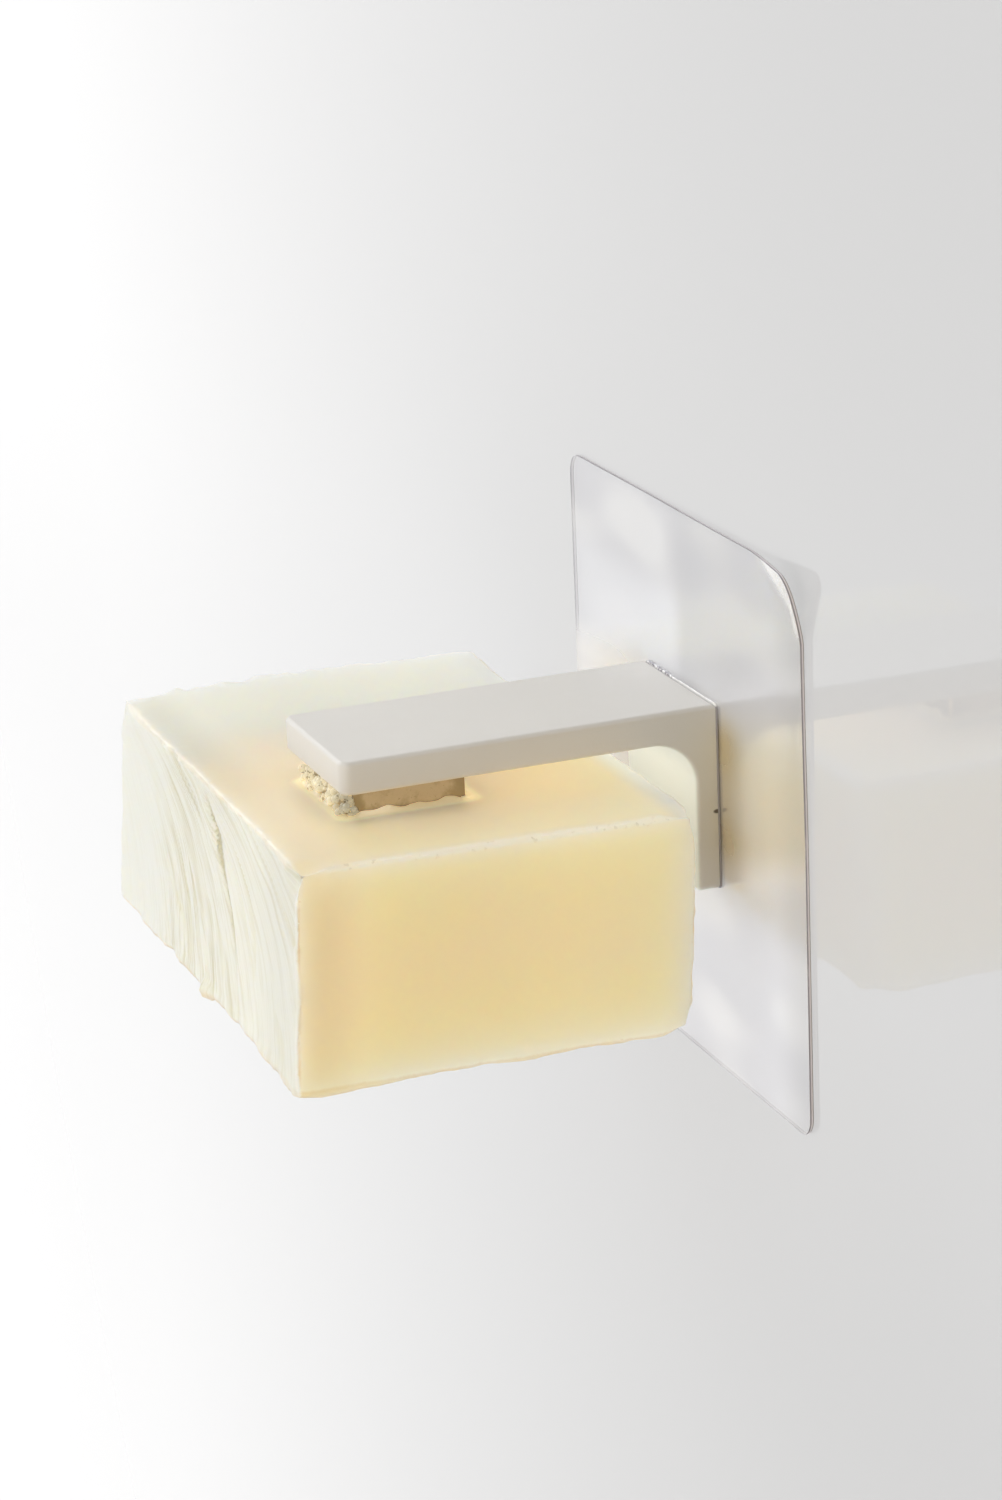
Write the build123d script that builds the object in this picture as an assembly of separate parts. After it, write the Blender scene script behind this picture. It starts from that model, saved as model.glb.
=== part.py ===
from build123d import *

import os

# Magnetic soap holder in millimetres. The wall is the plane y = 0 and the origin is the centre of
# the adhesive's back face. +Z is up, and the arm stands out from the wall along -Y.

# Clear film that sticks to the wall
film_side = 100.0
film_thickness = 0.5
film_corner_radius = 5.0
adhesive_thickness = 0.3
adhesive_inset = 0.5

# Tape between the film and the arm's leg
tape_thickness = 0.5
tape_inset = 0.6

# Arm: one moulding, a leg on the film and a plate that reaches out from the leg's top
arm_width = 31.0
arm_reach = 69.2
arm_thickness = 6.0
arm_top = 18.8
leg_thickness = 4.0
leg_height = 34.0
inner_corner_radius = 8.0
tip_corner_radius = 2.0
leg_corner_radius = 1.2
arm_edge_radius = 0.8

# Magnet in the arm's tip, and the lid that closes its pocket
magnet_diameter = 16.0
magnet_thickness = 3.0
magnet_chamfer = 0.3
magnet_clearance = 0.1
lid_side = 24.0
lid_thickness = 1.0
lid_corner_radius = 2.0
lid_clearance = 0.1

# Cap: folded steel sheet with a toothed skirt that is pressed into the soap
cap_side = 21.8
cap_sheet = 0.8
cap_height = 10.6
cap_bend_radius = 0.4
cap_corner_gap = 0.4
cap_tip_margin = 2.2
tooth_count = 5
tooth_depth = 3.2
tooth_flat = 0.5

# Soap bar, a hand-cut block that is a little out of square
soap_length = 105.4
soap_width = 69.5
soap_height = 38.7
soap_foot_growth = 3.2
soap_skew = 3.4
soap_lean = 2.5
soap_side_offset = 17.3
soap_cap_gap = 4.3
soap_corner_radius = 2.5
soap_edge_radius = 1.4
soap_wall_gap = 13.5
slot_clearance = 0.15

# Cutting solids run past the face that they open by this much
overrun = 1.0

# Places that follow from the sizes above
film_back = -adhesive_thickness
film_face = film_back - film_thickness
leg_back = film_face - tape_thickness
leg_face = leg_back - leg_thickness
leg_foot = arm_top - leg_height
arm_tip = film_face - arm_reach
arm_under = arm_top - arm_thickness
cap_center = arm_tip + cap_tip_margin + cap_side / 2
cap_skirt_foot = arm_under - cap_height
cap_wall_length = cap_side - 2 * (cap_sheet + cap_corner_gap)
soap_top = arm_under - cap_sheet - soap_cap_gap
soap_back = film_face - soap_wall_gap


def wall_pad(side, corner_radius, thickness, back):
    """A square pad flat on the wall side, from y = back outwards."""
    with BuildPart() as pad:
        with BuildSketch(Plane.XZ.offset(-back)):
            RectangleRounded(side, side, corner_radius)
        extrude(amount=thickness)
    return pad.part


def film_sheet():
    return wall_pad(film_side, film_corner_radius, film_thickness, film_back)


def film_adhesive():
    side = film_side - 2 * adhesive_inset
    return wall_pad(side, film_corner_radius - adhesive_inset, adhesive_thickness, 0)


def bonding_tape():
    """Double-sided tape, a little inside the outline of the leg's back."""
    with BuildPart() as tape:
        with BuildSketch(Plane.XZ.offset(-film_face)):
            with Locations((0, (arm_top + leg_foot) / 2)):
                Rectangle(arm_width - 2 * tape_inset, leg_height - 2 * tape_inset)
        extrude(amount=tape_thickness)
    return tape.part


def patch_outline(faces):
    """The edges round a patch of faces, which only one of its faces has, less those on the tape."""
    edges = [edge for face in faces for edge in face.edges()]
    rim = ShapeList(edge for edge in edges if edges.count(edge) == 1)
    return rim - rim.filter_by_position(Axis.Y, leg_back, leg_back)


def arm():
    """The L-shaped moulding, with a pocket for the magnet and a rebate for its lid."""
    with BuildPart() as body:
        with BuildSketch(Plane.YZ) as profile:
            with BuildLine():
                Polyline(
                    (leg_back, arm_top),
                    (arm_tip, arm_top),
                    (arm_tip, arm_under),
                    (leg_face, arm_under),
                    (leg_face, leg_foot),
                    (leg_back, leg_foot),
                    close=True,
                )
            make_face()
            inner_corner = profile.vertices().sort_by_distance((leg_face, arm_under))[0]
            fillet(inner_corner, inner_corner_radius)
        extrude(amount=arm_width / 2, both=True)
        fillet(body.edges().filter_by(Axis.Z).group_by(Axis.Y)[0], tip_corner_radius)
        fillet(body.edges().filter_by(Axis.Y).group_by(Axis.Z)[0], leg_corner_radius)
        top = body.faces().filter_by(Plane.XY).sort_by(Axis.Z)[-1:]
        fillet(patch_outline(top), arm_edge_radius)
        under = body.faces().filter_by(Plane.XY).filter_by_position(Axis.Z, arm_under, arm_under)
        inner = body.faces().filter_by(Plane.XZ).filter_by_position(Axis.Y, leg_face, leg_face)
        bend = body.faces().filter_by(GeomType.CYLINDER)
        bend = bend.filter_by(lambda face: abs(face.radius - inner_corner_radius) < overrun)
        fillet(patch_outline(under + inner + bend), arm_edge_radius)
        with BuildSketch(Plane.XY.offset(arm_under)):
            with Locations((0, cap_center)):
                seat_side = lid_side + 2 * lid_clearance
                RectangleRounded(seat_side, seat_side, lid_corner_radius + lid_clearance)
        extrude(amount=lid_thickness, mode=Mode.SUBTRACT)
        with BuildSketch(Plane.XY.offset(arm_under + lid_thickness)):
            with Locations((0, cap_center)):
                Circle(magnet_diameter / 2 + magnet_clearance)
        extrude(amount=magnet_thickness + magnet_clearance, mode=Mode.SUBTRACT)
    return body.part


def magnet():
    """A round block magnet that lies on the lid."""
    with BuildPart() as disc:
        with BuildSketch(Plane.XY.offset(arm_under + lid_thickness)):
            with Locations((0, cap_center)):
                Circle(magnet_diameter / 2)
        extrude(amount=magnet_thickness)
        chamfer(disc.edges().filter_by(GeomType.CIRCLE), magnet_chamfer)
    return disc.part


def magnet_lid():
    """The lid that closes the pocket, flush with the underside of the arm."""
    with BuildPart() as lid:
        with BuildSketch(Plane.XY.offset(arm_under)):
            with Locations((0, cap_center)):
                RectangleRounded(lid_side, lid_side, lid_corner_radius)
        extrude(amount=lid_thickness)
    return lid.part


def tooth_line(foot):
    """Points of the saw-toothed edge, from one end of a skirt wall to the other."""
    pitch = cap_wall_length / tooth_count
    root = foot + tooth_depth
    points = [(-cap_wall_length / 2, root)]
    for number in range(tooth_count):
        start = -cap_wall_length / 2 + number * pitch
        points.append((start + (pitch - tooth_flat) / 2, foot))
        points.append((start + (pitch + tooth_flat) / 2, foot))
        points.append((start + pitch, root))
    return points


def soap_cap():
    """Square cap folded from one sheet: four skirt walls, open corners and saw-toothed edges."""
    with BuildPart() as cap:
        with BuildSketch(Plane.XZ) as strip:
            with BuildLine():
                Polyline(
                    (-cap_side / 2, cap_skirt_foot),
                    (-cap_side / 2, arm_under),
                    (cap_side / 2, arm_under),
                    (cap_side / 2, cap_skirt_foot),
                    (cap_side / 2 - cap_sheet, cap_skirt_foot),
                    (cap_side / 2 - cap_sheet, arm_under - cap_sheet),
                    (cap_sheet - cap_side / 2, arm_under - cap_sheet),
                    (cap_sheet - cap_side / 2, cap_skirt_foot),
                    close=True,
                )
            make_face()
            levels = strip.vertices().group_by(Axis.Y)
            fillet(levels[-2], cap_bend_radius)
            fillet(strip.vertices().group_by(Axis.Y)[-1], cap_bend_radius + cap_sheet)
        folded = extrude(amount=cap_wall_length / 2, both=True)
        add(folded.rotate(Axis.Z, 90))
        for plane in (Plane.XZ, Plane.YZ):
            with BuildSketch(plane):
                with BuildLine():
                    teeth = tooth_line(cap_skirt_foot)
                    below = cap_skirt_foot - overrun
                    Polyline(*teeth, (teeth[-1][0], below), (teeth[0][0], below), close=True)
                make_face()
            extrude(amount=cap_side, both=True, mode=Mode.SUBTRACT)
    return Pos(0, cap_center, 0) * cap.part


def skirt_slot():
    """What one wall of the skirt cuts out of the soap, for the outer wall of a cap at the origin."""
    teeth = tooth_line(cap_skirt_foot - slot_clearance)
    root = teeth[0][1]
    above = soap_top + overrun
    end = cap_wall_length / 2 + slot_clearance
    with BuildPart() as slot:
        with BuildSketch(Plane.XZ.offset(cap_side / 2 + slot_clearance)):
            with BuildLine():
                Polyline((-end, root), *teeth, (end, root), (end, above), (-end, above), close=True)
            make_face()
        extrude(amount=-(cap_sheet + 2 * slot_clearance))
    return slot.part


def soap_outline(length, lean):
    """Corners of the block at one level. It leans out from the wall towards its foot."""
    middle = -soap_side_offset
    back = soap_back - lean
    front = back - soap_width
    return [
        (middle - (length + soap_skew) / 2, front),
        (middle + (length - soap_skew) / 2, front),
        (middle + (length + soap_skew) / 2, back),
        (middle - (length - soap_skew) / 2, back),
    ]


def soap_bar():
    """The block, with four toothed slots that the cap's skirt has cut."""
    levels = (
        (soap_top - soap_height, soap_length + soap_foot_growth, soap_lean),
        (soap_top, soap_length, 0),
    )
    with BuildPart() as bar:
        for height, length, lean in levels:
            with BuildSketch(Plane.XY.offset(height)):
                with BuildLine():
                    Polyline(*soap_outline(length, lean), close=True)
                make_face()
        loft(ruled=True)
        flat_edges = bar.edges().filter_by(Plane.XY)
        fillet(bar.edges() - flat_edges, soap_corner_radius)
        fillet(bar.faces().filter_by(Plane.XY).edges(), soap_edge_radius)
        with Locations((0, cap_center)):
            with PolarLocations(0, 4):
                add(skirt_slot(), mode=Mode.SUBTRACT)
    return bar.part


makers = (
    film_sheet,
    film_adhesive,
    bonding_tape,
    arm,
    magnet,
    magnet_lid,
    soap_cap,
    soap_bar,
)

os.makedirs("parts", exist_ok=True)
for maker in makers:
    piece = maker()
    piece.label = maker.__name__
    export_step(piece, f"parts/{maker.__name__}.step")
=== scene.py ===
import math

import bmesh
import bpy
from bpy.props import FloatProperty, FloatVectorProperty, IntProperty, PointerProperty
from mathutils import Matrix, Vector, noise


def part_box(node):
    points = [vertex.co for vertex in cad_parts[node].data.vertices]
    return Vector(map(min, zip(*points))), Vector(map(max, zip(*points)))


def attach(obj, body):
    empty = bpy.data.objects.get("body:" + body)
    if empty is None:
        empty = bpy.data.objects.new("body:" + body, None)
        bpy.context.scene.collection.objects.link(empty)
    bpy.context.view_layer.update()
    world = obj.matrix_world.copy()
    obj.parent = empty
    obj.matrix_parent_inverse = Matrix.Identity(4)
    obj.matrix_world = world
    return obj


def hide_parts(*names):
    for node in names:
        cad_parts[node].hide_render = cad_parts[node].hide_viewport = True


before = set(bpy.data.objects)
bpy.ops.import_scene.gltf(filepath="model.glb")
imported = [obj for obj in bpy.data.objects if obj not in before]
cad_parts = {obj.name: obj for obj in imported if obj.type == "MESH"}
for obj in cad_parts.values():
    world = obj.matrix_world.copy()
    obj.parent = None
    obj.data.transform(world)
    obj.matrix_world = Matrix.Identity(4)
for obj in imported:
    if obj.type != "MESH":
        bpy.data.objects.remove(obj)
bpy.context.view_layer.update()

bl_info = {
    "name": "Magnetic soap holder",
    "version": (1, 0, 0),
    "blender": (4, 5, 0),
    "location": "View3D > Sidebar > Soap holder",
    "description": "Finishes and soft pieces of a film-mounted magnetic soap holder with its bar",
    "category": "Add Mesh",
}

# Boxes of the fixed parts, in metres. The wall is the plane y = 0 and the arm stands out along -Y.
FILM_LOW, FILM_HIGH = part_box("film_sheet")
GEL_LOW, GEL_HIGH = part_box("film_adhesive")
ARM_LOW, ARM_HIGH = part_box("arm")
TAPE_LOW, TAPE_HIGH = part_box("bonding_tape")
LID_LOW, LID_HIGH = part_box("magnet_lid")
CAP_LOW, CAP_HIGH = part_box("soap_cap")
BAR_LOW, BAR_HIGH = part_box("soap_bar")
MM = 0.001

# The knife's path on the bar's outer side: along the top first, then turning down.
SWEEP_REACH = 46 * MM
SWEEP_DROP = 12 * MM
# Its one deep crease: where it starts at the top, how far it swings over, and in what drop.
CREASE_START = -23 * MM
CREASE_SWING = 24 * MM
CREASE_DROP = 13 * MM
# Where its fine marks lie closest together.
MARKS_CENTRE = -27 * MM

# Where along the wall the bar's outer side grows fuller.
FULLER = (10 * MM, 42 * MM)

# The bar's blunt corners, by near end, top and outer side: how much each has lost, and how far in.
CORNER_LOSS = {
    (True, True, True): (1.8 * MM, 7 * MM),
    (False, True, True): (0.9 * MM, 7 * MM),
    (True, True, False): (1.5 * MM, 7 * MM),
    (True, False, True): (0.8 * MM, 4 * MM),
    (True, False, False): (1.4 * MM, 6 * MM),
}

# A nick in the leg's side, beside the tape: its place out from the wall and up, and its size.
NICK_PLACE = (-1.4 * MM, -0.65 * MM)
NICK_SIZE = (0.85 * MM, 0.45 * MM)

# Colours and glows of the finishes that aren't settings.
WHITE = (1, 1, 1, 1)
BLACK = (0, 0, 0, 1)
NICK_DARK = (0.13, 0.11, 0.10, 1)
LEG_PAINTED_GLOW = (0.18, 0.22, 0.20)
FILM_SMEAR = (0.98, 0.98, 1.0, 1)
FILM_WARM_REFLECTION = (0.90, 0.84, 0.64, 1)
FILM_AMBER_REFLECTION = (0.68, 0.545, 0.28, 1)
FILM_COOL_LIGHT = (0.92, 0.93, 0.98, 1)
FILM_GLOW = (0.90, 0.93, 1.0)
GEL_EDGE = (0.72, 0.68, 0.66, 1)
GEL_HAZE = (0.86, 0.86, 0.88, 1)
GLUE_PALE = (0.90, 0.90, 0.91, 1)
NICKEL_DULL = (0.62, 0.60, 0.56, 1)
NICKEL_BRIGHT = (0.74, 0.72, 0.68, 1)
CUT_FAR = (0.80, 0.82, 0.79, 1)
CUT_RIDGE_HIGHLIGHT = (0.87, 0.87, 0.81, 1)
CUT_CREASE_SHADE = (0.55, 0.52, 0.36, 1)
CUT_STRIP = (0.90, 0.90, 0.86, 1)
CUT_HOLLOW_SHADE = (0.76, 0.73, 0.50, 1)
DRIED_AND_LIT_FAR = (0.79, 0.82, 0.77, 1)
RING_LIT_YELLOW = (1.0, 0.82, 0.46, 1)
RING_GLOW = (0.46, 0.32, 0.13, 1)
EDGE_PALE = (0.88, 0.82, 0.70, 1)
CHIP_BROWN = (0.66, 0.56, 0.42, 1)
AMBER_SHARES = (0.80, 0.70, 0.62)
FROTH_CREAM = (0.86, 0.79, 0.58, 1)
FROTH_PALE = (0.90, 0.86, 0.72, 1)
FROTH_DARK = (0.20, 0.165, 0.10, 1)
FLOOR_SHADES = ((0.80, 0.80, 0.80, 1), (0.84, 0.84, 0.84, 1))
WARM_AIR = (0.50, 0.38, 0.15, 1)


# Settings that a user would change


class FilmSettings(bpy.types.PropertyGroup):
    corner_radius: FloatProperty(
        name="Corner radius", description="Radius of the film's corners",
        default=4 * MM, min=0, unit="LENGTH",
    )
    curl_height: FloatProperty(
        name="Curl height", description="How far the loose corner stands off the wall",
        default=2.2 * MM, min=0, unit="LENGTH",
    )
    curl_reach: FloatProperty(
        name="Curl reach", description="Depth of the loose corner, measured in from its tip",
        default=8.5 * MM, min=0, unit="LENGTH",
    )
    edge_lift: FloatProperty(
        name="Edge lift", description="How far the edges beside the loose corner have come off",
        default=0.3 * MM, min=0, unit="LENGTH",
    )
    ripple: FloatProperty(
        name="Ripple", description="Height of the shallow waves where the film lies on the wall",
        default=0.05 * MM, min=0, unit="LENGTH",
    )
    tint: FloatVectorProperty(
        name="Film tint", description="Colour of the film's faint haze",
        default=(0.82, 0.82, 0.875), min=0, max=1, subtype="COLOR",
    )
    edge_tint: FloatVectorProperty(
        name="Film edge", description="Colour seen in the film's cut edges",
        default=(0.76, 0.72, 0.80), min=0, max=1, subtype="COLOR",
    )


class ArmSettings(bpy.types.PropertyGroup):
    white: FloatVectorProperty(
        name="Moulding white", description="Colour of the moulded arm and lid",
        default=(0.79, 0.775, 0.75), min=0, max=1, subtype="COLOR",
    )
    grain: FloatProperty(
        name="Grain depth", description="Depth of the fine spark-eroded grain",
        default=0.012 * MM, min=0, unit="LENGTH",
    )
    tape: FloatVectorProperty(
        name="Tape colour", description="Colour of the bonding tape",
        default=(0.45, 0.42, 0.50), min=0, max=1, subtype="COLOR",
    )


class CapSettings(bpy.types.PropertyGroup):
    steel: FloatVectorProperty(
        name="Steel colour", description="Colour of the wet steel cap",
        default=(0.58, 0.475, 0.33), min=0, max=1, subtype="COLOR",
    )
    stain: FloatVectorProperty(
        name="Stain colour", description="Colour of the stains where soap has dried on the cap",
        default=(0.30, 0.23, 0.12), min=0, max=1, subtype="COLOR",
    )
    froth_count: IntProperty(
        name="Froth beads", description="Number of bubbles along the cap's foot",
        default=120, min=0, max=300,
    )


class BarSettings(bpy.types.PropertyGroup):
    skew: FloatProperty(
        name="Skew", description="How far the block's outer side sits along the wall from its back",
        default=3.4 * MM, unit="LENGTH",
    )
    lean: FloatProperty(
        name="Lean", description="How far the block's foot stands out past its top",
        default=2.5 * MM, unit="LENGTH",
    )
    foot_growth: FloatProperty(
        name="Foot growth", description="How much longer the block is at its foot",
        default=3.2 * MM, unit="LENGTH",
    )
    edge_radius: FloatProperty(
        name="Edge radius", description="Rounding of the worn edges",
        default=0.8 * MM, min=0, unit="LENGTH",
    )
    mesh_size: FloatProperty(
        name="Mesh size", description="Grain of the block's mesh before it is carved",
        default=0.65 * MM, min=0.2 * MM, unit="LENGTH",
    )
    heart: FloatVectorProperty(
        name="Soap colour", description="Colour of the clear soap",
        default=(0.98, 0.79, 0.52), min=0, max=1, subtype="COLOR",
    )
    peach: FloatVectorProperty(
        name="Thin soap colour", description="Colour where the clear soap is thin or half whitened",
        default=(0.89, 0.775, 0.59), min=0, max=1, subtype="COLOR",
    )
    bloom_and_light: FloatVectorProperty(
        name="Whitened colour", description="Colour of the soap where it has dried white",
        default=(0.73, 0.74, 0.67), min=0, max=1, subtype="COLOR",
    )
    crest: FloatVectorProperty(
        name="Knife mark crests", description="Colour of the raised marks on the cut face",
        default=(0.83, 0.835, 0.77), min=0, max=1, subtype="COLOR",
    )
    hollow: FloatVectorProperty(
        name="Knife mark hollows", description="Colour of the lines between the marks on the cut face",
        default=(0.65, 0.625, 0.48), min=0, max=1, subtype="COLOR",
    )


class StudioSettings(bpy.types.PropertyGroup):
    azimuth: FloatProperty(
        name="Camera azimuth", description="Turn of the camera round the holder",
        default=math.radians(69.552), subtype="ANGLE",
    )
    elevation: FloatProperty(
        name="Camera elevation", description="Height angle of the camera",
        default=math.radians(17.976), subtype="ANGLE",
    )
    roll: FloatProperty(
        name="Camera roll", description="Turn of the camera about its own axis",
        default=math.radians(-2.517), subtype="ANGLE",
    )
    distance: FloatProperty(
        name="Camera distance", description="Distance from the camera to its target plane",
        default=701.8 * MM, unit="LENGTH",
    )
    aim: FloatVectorProperty(
        name="Camera aim", description="Target, across and up in the camera's own plane",
        size=2, default=(-33.5 * MM, 5.6 * MM), unit="LENGTH",
    )
    lens: FloatProperty(
        name="Lens", description="Focal length on a 36 mm sensor",
        default=94.45, min=1, unit="CAMERA",
    )
    wall: FloatVectorProperty(
        name="Wall colour", description="Colour of the glossy wall panel",
        default=(0.66, 0.66, 0.665), min=0, max=1, subtype="COLOR",
    )
    wall_glow: FloatProperty(
        name="Wall glow", description="Share of the wall that the camera sees without shadows",
        default=0.8, min=0, max=1, subtype="FACTOR",
    )
    floor_drop: FloatProperty(
        name="Floor drop", description="Depth of the floor under the film's centre",
        default=0.5, unit="LENGTH",
    )


class HolderSettings(bpy.types.PropertyGroup):
    film: PointerProperty(type=FilmSettings)
    arm: PointerProperty(type=ArmSettings)
    cap: PointerProperty(type=CapSettings)
    bar: PointerProperty(type=BarSettings)
    studio: PointerProperty(type=StudioSettings)


def settings():
    return bpy.context.scene.soap_holder


# Shader nodes as expressions


class Wire:
    """An output socket. Sums and products of wires and numbers add Math nodes."""

    def __init__(self, shop, socket):
        self.shop = shop
        self.socket = socket

    def math(self, operation, *values):
        return self.shop.node("ShaderNodeMath", {"operation": operation}, dict(enumerate(values)))

    def __add__(self, other):
        return self.math("ADD", self, other)

    def __radd__(self, other):
        return self.math("ADD", other, self)

    def __sub__(self, other):
        return self.math("SUBTRACT", self, other)

    def __rsub__(self, other):
        return self.math("SUBTRACT", other, self)

    def __mul__(self, other):
        return self.math("MULTIPLY", self, other)

    def __rmul__(self, other):
        return self.math("MULTIPLY", other, self)

    def __truediv__(self, other):
        return self.math("DIVIDE", self, other)

    def __pow__(self, other):
        return self.math("POWER", self, other)

    def most(self, other):
        """The larger of the two."""
        return self.math("MAXIMUM", self, other)

    def size(self):
        """Its value without its sign."""
        return self.math("ABSOLUTE", self)

    def power_of_e(self):
        return self.math("EXPONENT", self)


class Shop:
    """The node tree of one material, or of the world, made by expressions."""

    def __init__(self, name, world=False):
        self.world = world
        self.owner = (bpy.data.worlds if world else bpy.data.materials).new(name)
        self.owner.use_nodes = True
        self.tree = self.owner.node_tree
        self.tree.nodes.clear()

    def node(self, kind, choices=None, sockets=None, output=0):
        """Any node: its own settings first, then its sockets."""
        made = self.tree.nodes.new(kind)
        for name, value in (choices or {}).items():
            setattr(made, name, value)
        for name, value in (sockets or {}).items():
            if isinstance(value, Wire):
                self.tree.links.new(value.socket, made.inputs[name])
            else:
                made.inputs[name].default_value = value
        return Wire(self, made.outputs[output])

    def place(self):
        """Position on the piece, in metres."""
        return self.node("ShaderNodeTexCoord", output="Object")

    def axes(self):
        """The three parts of the position."""
        parts = self.node("ShaderNodeSeparateXYZ", sockets={0: self.place()}).socket.node
        return [Wire(self, part) for part in parts.outputs]

    def stretched(self, scale, turn=(0, 0, 0)):
        """The position, turned and scaled, for a pattern with a direction."""
        return self.node(
            "ShaderNodeMapping", sockets={"Vector": self.place(), "Rotation": turn, "Scale": scale}
        )

    def clouds(self, size, detail=3, rough=0.5, vector=None):
        """Noise whose features are about size metres across, from 0 to 1."""
        sockets = {"Vector": vector or self.place(), "Scale": 1 / size}
        return self.node("ShaderNodeTexNoise", sockets={**sockets, "Detail": detail, "Roughness": rough})

    def ramp(self, value, low, high, to_low=0.0, to_high=1.0):
        """A value spread smoothly from one range to another."""
        sockets = {0: value, 1: low, 2: high, 3: to_low, 4: to_high}
        return self.node("ShaderNodeMapRange", {"interpolation_type": "SMOOTHSTEP"}, sockets)

    def blend(self, share, first, second):
        """Two colours mixed by a share."""
        sockets = {0: share, 6: first, 7: second}
        return self.node("ShaderNodeMix", {"data_type": "RGBA"}, sockets, output=2)

    def layered(self, colour, *layers):
        """A colour with others laid over it, each by its share."""
        for share, tint in layers:
            colour = self.blend(share, colour, tint)
        return colour

    def scaled(self, colour, share):
        """A colour made darker by a share."""
        return self.node("ShaderNodeVectorMath", {"operation": "SCALE"}, {0: colour, "Scale": share})

    def stored(self, name):
        """A number that the piece's own mesh carries."""
        return self.node("ShaderNodeAttribute", {"attribute_name": name}, output="Fac")

    def facing(self, blend, **sockets):
        """How far the surface turns away from the eye, for gloss and clear rims."""
        return self.node("ShaderNodeLayerWeight", sockets={"Blend": blend, **sockets}, output="Facing")

    def ray(self, kind):
        """1 for rays of one kind."""
        return self.node("ShaderNodeLightPath", output="Is " + kind + " Ray")

    def bump(self, height, depth, strength=1.0, under=None):
        sockets = {"Height": height, "Distance": depth, "Strength": strength}
        if under:
            sockets["Normal"] = under
        return self.node("ShaderNodeBump", sockets=sockets)

    def principled(self, **sockets):
        named = {name.replace("_", " ").title(): value for name, value in sockets.items()}
        if "Ior" in named:
            named["IOR"] = named.pop("Ior")
        return self.node("ShaderNodeBsdfPrincipled", sockets=named)

    def show(self, shader):
        """Finishes the material or the world with that shader."""
        output = self.tree.nodes.new("ShaderNodeOutputWorld" if self.world else "ShaderNodeOutputMaterial")
        self.tree.links.new(shader.socket, output.inputs["Surface"])
        return self.owner

    def veil(self, share, shader):
        """A surface that is there only by a share, and clear for the rest."""
        see = self.node("ShaderNodeBsdfTransparent", sockets={"Color": WHITE})
        return self.node("ShaderNodeMixShader", sockets={0: share, 1: see, 2: shader})


def rgba(colour, share=1.0):
    """A setting's colour, made darker by a share, with its alpha."""
    return (*(share * part for part in colour), 1.0)


def moulded_white():
    """Satin white moulding: fine eroded grain, faint flow marks, a few rub marks and one nick, with a
    painted glow on the leg's inner face under the arm.
    """
    shop = Shop("satin_white_moulding")
    own = settings().arm
    flow = shop.clouds(14 * MM, 2)
    grain = shop.clouds(0.35 * MM, 2, 0.6)
    rubbed = shop.ramp(shop.clouds(5 * MM, 5, 0.7), 0.52, 0.74)
    x, y, z = shop.axes()
    nick_out = (y - NICK_PLACE[0]) / NICK_SIZE[0]
    nick_up = (z - NICK_PLACE[1]) / NICK_SIZE[1]
    nick = shop.ramp(nick_out * nick_out + nick_up * nick_up, 1.2, 0.3) * shop.ramp(x, 0, ARM_HIGH[0])
    colour = shop.layered(rgba(own.white, 0.975), (flow, rgba(own.white)), (nick, NICK_DARK))
    soft = shop.bump(flow, 0.05 * MM, 0.5)
    # Painted glow on the leg's inner face under the arm, standing in for light thrown up from the soap.
    inside = shop.ramp(x.size(), ARM_HIGH[0], ARM_HIGH[0] - 0.5 * MM)
    under = shop.ramp(z, ARM_HIGH[2] - 1 * MM, ARM_HIGH[2] - 3 * MM)
    on_leg = shop.ramp(y, -18 * MM, -8 * MM) * shop.ramp(y, -1.8 * MM, -3 * MM)
    return shop.show(shop.principled(
        base_color=colour,
        roughness=0.40 + 0.06 * grain - 0.08 * rubbed,
        normal=shop.bump(grain, own.grain, 1.0, soft),
        emission_color=shop.scaled(LEG_PAINTED_GLOW, inside * under * on_leg),
        emission_strength=1.0,
        subsurface_weight=0.12,
        subsurface_radius=(1.0, 0.9, 0.8),
        subsurface_scale=1.2 * MM,
    ))


def tape_grey():
    """Foam tape seen at its cut edge, with pores."""
    shop = Shop("grey_bonding_tape")
    own = settings().arm
    pores = shop.clouds(0.5 * MM, 4, 0.7)
    colour = shop.blend(shop.ramp(pores, 0.35, 0.62), rgba(own.tape, 0.55), rgba(own.tape))
    return shop.show(shop.principled(
        base_color=colour, roughness=0.45 + 0.2 * pores, normal=shop.bump(pores, 0.06 * MM)
    ))


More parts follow.
